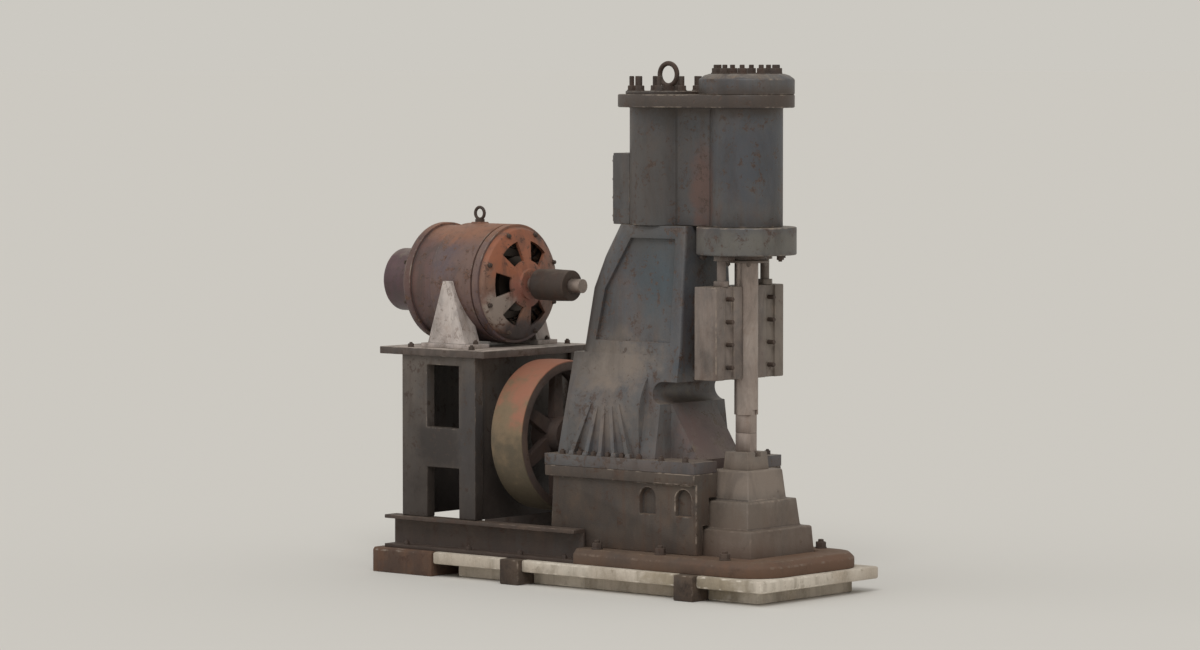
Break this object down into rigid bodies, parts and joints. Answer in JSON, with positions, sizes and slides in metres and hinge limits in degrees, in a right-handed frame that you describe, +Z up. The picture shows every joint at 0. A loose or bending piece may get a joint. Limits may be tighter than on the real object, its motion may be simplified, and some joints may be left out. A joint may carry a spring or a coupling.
{
  "type": "power forging hammer",
  "caption": "Motor-driven forging hammer: a cast C column carries a tall twin-barrel head over guide, ram, dies and stepped anvil, with flywheel and motor stand behind.",
  "frame": {"origin": "where the ram's axis meets the ground, on the underside of the front bearer", "axes": "+X forwards from the motor to the ram, +Y to the machine's left, +Z up along the ram"},
  "size_m": [2.73, 0.97, 2.581],
  "materials": {
    "concrete": "rough cast concrete",
    "bearer_timber": "tarred timber",
    "sill_steel": "heavily rusted steel",
    "bed_iron": "rusted casting",
    "rail_steel": "rusted rolled steel",
    "anvil_iron": "weathered casting",
    "frame_paint": "weathered machine paint",
    "guide_iron": "greased casting",
    "ram_steel": "machined, lightly tarnished",
    "bush_bronze": "turned bronze",
    "wheel_iron": "rusted belt face",
    "stand_paint": "faded grey paint",
    "table_paint": "faded pale paint",
    "motor_paint": "rusted paint",
    "motor_dark": "dull dark paint",
    "cap_paint": "dull red-brown paint",
    "winding": "varnished tape on copper",
    "foot_paint": "pale grey paint"
  },
  "bodies": {
    "frame": {"plinth": "concrete", "bearer_front": "bearer_timber", "bearer_middle": "bearer_timber", "rear_sill": "sill_steel", "bed_plate": "bed_iron", "rail_right": "rail_steel", "rail_left": "rail_steel", "anvil_block": "anvil_iron", "sow_block": "anvil_iron", "lower_die": "ram_steel", "lower_die_key": "ram_steel", "pedestal": "bed_iron", "column": "frame_paint", "ram_guide": "guide_iron", "guide_stay_right": "guide_iron", "guide_stay_left": "guide_iron", "lower_cover": "frame_paint", "gland": "guide_iron", "cylinder_block": "frame_paint", "ram_cylinder_cover": "frame_paint", "compressor_cover": "frame_paint", "lifting_eye": "rail_steel", "air_chest": "frame_paint", "crank_bearing": "guide_iron", "crank_bush": "bush_bronze", "motor_table": "table_paint", "stand_side_right": "stand_paint", "stand_side_left": "stand_paint", "stand_front_plate": "stand_paint", "stand_rear_plate": "stand_paint", "motor_frame": "motor_dark", "stator_core": "winding", "front_shield": "motor_paint", "rear_shield": "motor_dark", "slip_ring_cap": "cap_paint", "motor_foot_right": "foot_paint", "motor_foot_left": "foot_paint", "motor_lifting_eye": "rail_steel"},
    "ram": {"ram": "ram_steel", "upper_die": "ram_steel", "upper_die_key": "ram_steel"},
    "crankshaft": {"crankshaft": "ram_steel", "flywheel": "wheel_iron"},
    "rotor": {"rotor": "ram_steel", "motor_pulley": "rail_steel"}
  },
  "joints": [
    {"name": "ram_slide", "type": "slide", "parent": "frame", "child": "ram", "axis": [0, 0, 1], "range_m": [0, 0.3]},
    {"name": "flywheel_spin", "type": "hinge", "parent": "frame", "child": "crankshaft", "pos_m": [-1.222, 0, 0.709], "axis": [1, 0, 0], "continuous": true},
    {"name": "rotor_spin", "type": "hinge", "parent": "frame", "child": "rotor", "pos_m": [-1.222, 0, 1.46], "axis": [1, 0, 0], "continuous": true}
  ]
}
